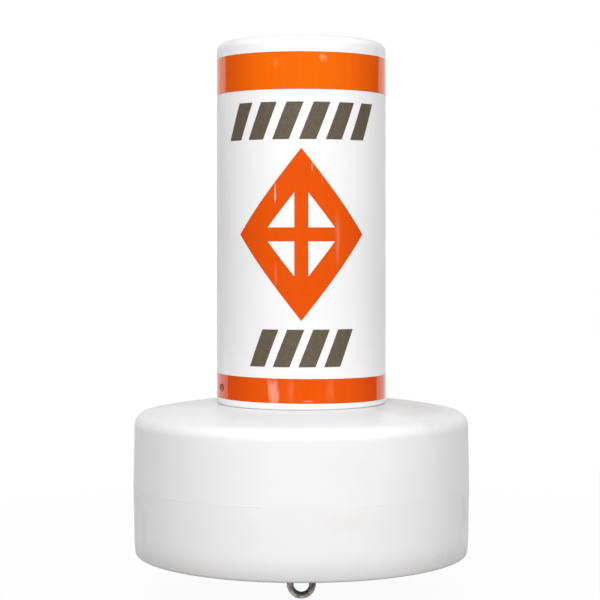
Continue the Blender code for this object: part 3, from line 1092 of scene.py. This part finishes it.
@dataclass
class Sheeting:
    """Thin sheet that is cut flat, given a thickness and wrapped round the post."""

    post_radius: float = 114.3 * MM
    clearance: float = 0.05 * MM
    rim: float = 1.1 * MM
    fold_width: float = 3 * MM

    def face(self, corners: list[tuple[float, float]], model: Model) -> None:
        """Adds a flat face, drawn as distances across and up, to a flat sheet."""
        model.faces.new([model.verts.new((across, 0, up)) for across, up in corners])

    def wrap(
        self,
        model: Model,
        thickness: float,
        level: float,
        tilt: float = 0.0,
        lift: Callable[[float], float] | None = None,
    ) -> Model:
        """Marks a flat sheet's cut edge, thickens it and wraps it round the post.

        Args:
            model: The flat sheet in X and Z.
            thickness: The sheet's thickness.
            level: The height of the sheet's own zero.
            tilt: How far the sheet slopes down to the right, in radians.
            lift: How far the sheet stands off the post at a distance across, if it does.

        Returns:
            The wrapped sheet.
        """
        bmesh.ops.recalc_face_normals(model, faces=model.faces)
        inset(model, self.rim)
        widest = max(abs(vert.co.x) for vert in model.verts)
        for fold in range(math.ceil(widest / self.fold_width)):
            for side in (-1, 1):
                bmesh.ops.bisect_plane(
                    model,
                    geom=model.verts[:] + model.edges[:] + model.faces[:],
                    plane_co=(side * (fold + 0.5) * self.fold_width, 0, 0),
                    plane_no=(1, 0, 0),
                )
        cut_edge = model.verts.layers.float.new("cut_edge")
        for vert in model.verts:
            vert[cut_edge] = 1.0 if vert.is_boundary else 0.0
        outer = bmesh.ops.extrude_face_region(model, geom=model.faces[:], use_keep_orig=True)
        raised = [item for item in outer["geom"] if isinstance(item, bmesh.types.BMVert)]
        bmesh.ops.translate(model, vec=(0, -thickness, 0), verts=raised)
        for vert in model.verts:
            across, out, up = vert.co.x, -vert.co.y, vert.co.z
            radius = self.post_radius + self.clearance + out
            if lift:
                radius += lift(across)
            angle = across / self.post_radius
            x = radius * math.sin(angle)
            vert.co = (x, -radius * math.cos(angle), level + up - x * math.tan(tilt))
        bmesh.ops.recalc_face_normals(model, faces=model.faces)
        return model


@dataclass
class Tapes:
    """The two turns of reflective tape, lapped at the back."""

    thickness: float = 0.35 * MM
    lap: float = 14 * MM
    lap_rise: float = 5 * MM
    lower_tilt: float = math.radians(0.5)
    upper_finish: Finish = ReflectiveFilm(
        "reflective_tape_upper",
        colour="#F26A04",
        # The sides' colour, darkened as painted shade.
        shaded_side="#E85702",
        patches=(
            # Painted highlights: the two pale glints below.
            Patch((28.4, -111, 704), (8, 20, 9), "#FFB070", 0.5, 3, 3),
            Patch((-32.4, -110, 697), (7, 20, 12), "#F79A55", 0.3, 4, 4),
            Patch((-91, -69, 688), (9, 20, 4), "#C4581A", 0.35, 5),
        ),
    )
    lower_finish: Finish = ReflectiveFilm(
        "reflective_tape_lower",
        patches=(
            # Painted reflections: pale upright streaks on the lower tape.
            Patch((-36.5, -109, 272), (12, 20, 34), "#F6A088", 0.85, 5, 7),
            Patch((-13, -114, 272), (7, 20, 28), "#F2845A", 0.3, 5, 7),
            Patch((37.5, -108, 272), (10, 20, 28), "#F2845A", 0.22, 5, 7),
            # Painted highlight: a pale line where the tape's lower edge catches the light.
            Patch((10, -114, 258.8), (14, 20, 1.5), "#FFCB96", 0.5, 4),
        ),
    )

    def turn(self, sheeting: Sheeting, node: str, tilt: float) -> Model:
        """One turn of tape with its end lapped over its start.

        Args:
            sheeting: How sheet is wrapped on the post.
            node: The CAD node of the tape.
            tilt: How far the tape slopes down to the right, in radians.

        Returns:
            The turn of tape.
        """
        low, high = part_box(node)
        half_turn = math.pi * sheeting.post_radius
        reach = half_turn + self.lap / 2
        half_width = (high.z - low.z) / 2

        def lift(across: float) -> float:
            """How far the lapped end stands off the post."""
            share = (across - half_turn + self.lap / 2 + self.lap_rise) / self.lap_rise
            share = min(max(share, 0.0), 1.0)
            return share * share * (3 - 2 * share) * (self.thickness + sheeting.clearance)

        flat = bmesh.new()
        signs = ((-1, -1), (1, -1), (1, 1), (-1, 1))
        sheeting.face([(side * reach, end * half_width) for side, end in signs], flat)
        return sheeting.wrap(flat, self.thickness, (low.z + high.z) / 2, tilt, lift)

    def build(self, sheeting: Sheeting) -> None:
        """Makes both tapes."""
        for name, node, tilt, finish in (
            ("upper_tape", "upper_band", 0.0, self.upper_finish),
            ("lower_tape", "lower_band", self.lower_tilt, self.lower_finish),
        ):
            tape = self.turn(sheeting, node, tilt)
            add_piece(name, tape, finish, Slot.ORANGE_FILM, node)


@dataclass
class DiamondSign:
    """The diamond of reflective sheeting, with four windows that leave an upright cross."""

    half_width: float = 88 * MM
    half_height: float = 112 * MM
    border: float = 28.4 * MM
    bar_width: float = 18 * MM
    thickness: float = 0.35 * MM
    finish: Finish = ReflectiveFilm(
        "reflective_sheeting_sign",
        colour="#E85606",
        # The sides' colour, darkened as painted shade.
        shaded_side="#DE4808",
        patches=(
            # Painted highlights and reflections: pale streaks and glints on the sign.
            Patch((-34, -110, 527), (2, 20, 20), "#FFE2D0", 0.8, 2, 4),
            Patch((13.8, -114, 561), (1.4, 20, 9), "#FFC8A4", 0.5, 2, 2),
            Patch((26.9, -111, 544), (1.8, 20, 4), "#FFC8A4", 0.35, 2),
            Patch((47.3, -104, 470), (6, 20, 52), "#E98A6A", 0.4, 5, 7),
            Patch((-33.4, -110, 425), (4, 20, 24), "#F28A62", 0.3, 4, 6),
        ),
    )

    def sheet(self) -> Model:
        """The flat diamond with its windows cut out."""
        model = bmesh.new()
        width, height = self.half_width, self.half_height
        Sheeting().face([(0, height), (-width, 0), (0, -height), (width, 0)], model)
        bmesh.ops.recalc_face_normals(model, faces=model.faces)
        frame = inset(model, self.border)
        field = [face for face in model.faces if face not in frame]
        half_bar = self.bar_width / 2
        for normal in ((1, 0, 0), (0, 0, 1)):
            for side in (-1, 1):
                verts = {vert for face in field for vert in face.verts}
                edges = {edge for face in field for edge in face.edges}
                cut = bmesh.ops.bisect_plane(
                    model,
                    geom=[*verts, *edges, *field],
                    plane_co=Vector(normal) * side * half_bar,
                    plane_no=normal,
                )
                pieces = [g for g in cut["geom"] if isinstance(g, bmesh.types.BMFace)]
                field = list(set(field) | set(pieces))
                field = [face for face in field if face.is_valid]
        windows = []
        for face in field:
            centre = face.calc_center_median()
            if abs(centre.x) > half_bar and abs(centre.z) > half_bar:
                windows.append(face)
        bmesh.ops.delete(model, geom=windows, context="FACES")
        return model

    def build(self, sheeting: Sheeting) -> None:
        """Makes the sign."""
        low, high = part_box("diamond_sign")
        sign = sheeting.wrap(self.sheet(), self.thickness, (low.z + high.z) / 2)
        add_piece("diamond_sheet", sign, self.finish, Slot.ORANGE_FILM, "diamond_sign")


@dataclass
class MarkerBars:
    """Two rows of slanting bars cut from dark vinyl, over and under the diamond."""

    height: float = 48.6 * MM
    bar_width: float = 22.3 * MM
    slant: float = 19.3 * MM
    thickness: float = 0.12 * MM
    upper_level: float = 622 * MM
    upper_width: float = 218 * MM
    upper_count: int = 6
    lower_level: float = 327 * MM
    lower_width: float = 143 * MM
    lower_count: int = 4
    finish: Finish = CutVinyl("weathered_sign_vinyl")

    def row(self, sheeting: Sheeting, count: int, width: float, level: float) -> Model:
        """A row of bars, centred on the front.

        Args:
            sheeting: How sheet is wrapped on the post.
            count: How many bars there are.
            width: The row's full width along the surface.
            level: The height of the row's middle.

        Returns:
            The row's bars.
        """
        flat = bmesh.new()
        pitch = (width - self.bar_width - self.slant) / (count - 1)
        half = self.height / 2
        for number in range(count):
            left = -width / 2 + number * pitch
            right = left + self.bar_width
            foot = [(left, -half), (right, -half)]
            head = [(right + self.slant, half), (left + self.slant, half)]
            sheeting.face(foot + head, flat)
        return sheeting.wrap(flat, self.thickness, level)

    def build(self, sheeting: Sheeting) -> None:
        """Makes both rows."""
        for name, count, width, level in (
            ("upper_bars", self.upper_count, self.upper_width, self.upper_level),
            ("lower_bars", self.lower_count, self.lower_width, self.lower_level),
        ):
            row = self.row(sheeting, count, width, level)
            add_piece(name, row, self.finish)


@dataclass
class Inside:
    """What the mouldings hide, which keeps its CAD shape."""

    foam: Finish = ClosedCellFoam("rigid_polyurethane_foam")
    iron: Finish = CastIron("sand_cast_iron")
    steel: Finish = DippedZinc("hot_dip_galvanised_steel")

    def build(self, nodes: dict[str, bpy.types.Object]) -> None:
        """Dresses the hidden CAD nodes."""
        for names, finish in (
            (("post_foam", "stem_foam", "collar_foam"), self.foam),
            (("ballast",), self.iron),
            (("eye_washer_upper", "eye_nut_upper"), self.steel),
        ):
            for name in names:
                nodes[name].data.materials.clear()
                nodes[name].data.materials.append(finish.material())
                LOG.info("%s: kept, with the finish %s", name, finish.name)


@dataclass
class Studio:
    """A pale floor, a white backdrop, soft lamps and the camera."""

    distance: float = 2.31
    eye_height: float = 0.4643
    lens: float = 102.0
    shift_x: float = -0.0022
    shift_y: float = -0.0962
    floor_radius: float = 1.7
    floor_gap: float = 0.3 * MM
    floor_white: float = 0.95
    floor_grey: str = "#828280"
    floor_clear: float = 0.4
    aim_height: float = 0.35
    ambient: float = 0.53
    front_dim: float = 0.06
    backdrop_lean: tuple[float, float, float] = (-0.04, 1.0, -0.45)
    backdrop_edge: tuple[float, float] = (0.52, 0.58)

    def camera(self) -> None:
        """The camera at the photograph's place, level, with its frame shifted down."""
        data = bpy.data.cameras.new("camera")
        data.lens = self.lens
        data.sensor_width = 36
        data.shift_x = self.shift_x
        data.shift_y = self.shift_y
        camera = bpy.data.objects.new("camera", data)
        camera.location = (0, -self.distance, self.eye_height)
        camera.rotation_euler = (math.pi / 2, 0, 0)
        bpy.context.scene.collection.objects.link(camera)
        bpy.context.scene.camera = camera

    def sight(self, tree: Tree) -> tuple[Socket, bpy.types.Node]:
        """Tells a mirror's rays, and the eye's own, straight or through glass.

        Args:
            tree: The node tree that gets the nodes.

        Returns:
            1 for a mirror's ray and 1 for the eye's, and otherwise 0.
        """
        rays = add_node(tree, "LightPath").outputs
        straight = {0: rays["Is Camera Ray"], 1: rays["Is Transmission Ray"]}
        return rays["Is Glossy Ray"], add_node(tree, "Math", straight, operation="MAXIMUM")

    def world(self) -> None:
        """White behind the object for the eye and for gloss, a soft even light elsewhere."""
        world = bpy.data.worlds.new("white_studio")
        bpy.context.scene.world = world
        world.use_nodes = True
        tree = world.node_tree
        background = tree.nodes["Background"]
        mirrored, seen = self.sight(tree)
        direction = add_node(tree, "TexCoord").outputs["Generated"]
        facing = {0: direction, 1: self.backdrop_lean}
        backwards = add_node(tree, "VectorMath", facing, operation="DOT_PRODUCT").outputs["Value"]
        start, end = self.backdrop_edge
        edge = {"Value": backwards, 1: start, 2: end, 3: self.front_dim, 4: 1.0}
        backdrop = add_node(tree, "MapRange", edge, interpolation_type="SMOOTHSTEP")
        gloss = add_node(tree, "Mix", {0: mirrored, 2: self.ambient, 3: backdrop})
        strength = add_node(tree, "Mix", {0: seen, 2: gloss, 3: 1.0})
        feed(tree, background, {"Strength": strength, "Color": (1, 1, 1, 1)})

    def floor(self) -> None:
        """A pale disc just under the eye, white to the camera, that keeps a faint shadow."""
        low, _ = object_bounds()
        model = bmesh.new()
        bmesh.ops.create_circle(
            model,
            cap_ends=True,
            radius=self.floor_radius,
            segments=128,
            matrix=Matrix.Translation((0, 0, low.z - self.floor_gap)),
        )
        mesh = bpy.data.meshes.new("floor")
        model.to_mesh(mesh)
        model.free()
        floor = bpy.data.objects.new("floor", mesh)
        bpy.context.scene.collection.objects.link(floor)
        material = bpy.data.materials.new("matt_white_paper")
        material.use_nodes = True
        tree = material.node_tree
        shader = tree.nodes["Principled BSDF"]
        mirrored, seen = self.sight(tree)
        shown = add_node(tree, "Math", {0: seen, 1: mirrored}, operation="MAXIMUM")
        paint = {0: shown, 6: linear(self.floor_grey), 7: (1, 1, 1, 1)}
        colour = add_node(tree, "Mix", paint, data_type="RGBA").outputs[2]
        feed(tree, shader, {"Base Color": colour, "Roughness": 0.9, "Specular IOR Level": 0.0})
        clear = self.floor_clear
        coords = add_node(tree, "TexCoord").outputs["Object"]
        reach = add_node(tree, "VectorMath", {0: coords}, operation="LENGTH").outputs["Value"]
        edge = {"Value": reach, 1: clear, 2: 0.9 * self.floor_radius, 3: self.floor_white}
        white = add_node(tree, "MapRange", edge, interpolation_type="SMOOTHSTEP")
        share = add_node(tree, "Math", {0: shown, 1: white}, operation="MULTIPLY")
        glow = add_node(tree, "Emission", {"Strength": 1.0})
        mixed = add_node(tree, "MixShader", {0: share, 1: shader, 2: glow})
        feed(tree, tree.nodes["Material Output"], {"Surface": mixed})
        mesh.materials.append(material)
        floor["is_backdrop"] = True

    def lamp(
        self,
        name: str,
        place: tuple[float, float, float],
        size: tuple[float, float],
        power: float,
        mirrored: bool = True,
    ) -> None:
        """Adds a soft box aimed at the middle of the buoy.

        Args:
            name: The lamp's name.
            place: Where it hangs.
            size: Its width and height.
            power: Its power in watts.
            mirrored: Whether glossy surfaces mirror it.
        """
        data = bpy.data.lights.new(name, "AREA")
        data.shape = "RECTANGLE"
        data.size, data.size_y = size
        data.energy = power
        lamp = bpy.data.objects.new(name, data)
        lamp.location = place
        aim = Vector((0, 0, self.aim_height)) - Vector(place)
        lamp.rotation_euler = aim.to_track_quat("-Z", "Y").to_euler()
        lamp.visible_glossy = mirrored
        bpy.context.scene.collection.objects.link(lamp)

    def build(self) -> None:
        """Sets the camera, the surroundings and the lamps."""
        bpy.context.scene.view_settings.view_transform = "Standard"
        self.camera()
        self.world()
        self.floor()
        self.lamp("front_soft_box", (0.0, -2.5, 1.95), (1.8, 1.2), 22)
        self.lamp("low_soft_box", (-0.45, -2.6, 0.6), (1.5, 1.0), 20.5, mirrored=False)
        self.lamp("left_soft_box", (-1.2, -0.6, 2.2), (1.2, 1.2), 4)
        self.lamp("right_soft_box", (1.9, -1.9, 1.2), (1.2, 1.2), 15, mirrored=False)
        self.lamp("top_soft_box", (-0.3, -1.1, 2.4), (1.2, 1.0), 7, mirrored=False)


def main() -> None:
    """Builds the buoy's pieces in order, then the studio."""
    logging.basicConfig(level=logging.INFO, format="%(name)s: %(message)s")
    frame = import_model()
    sheeting = Sheeting()
    Post().build()
    Collar().build()
    Stem().build()
    MooringEye().build()
    Tapes().build(sheeting)
    DiamondSign().build(sheeting)
    MarkerBars().build(sheeting)
    Inside().build(frame["nodes"])
    Studio().build()


if __name__ == "__main__":
    main()
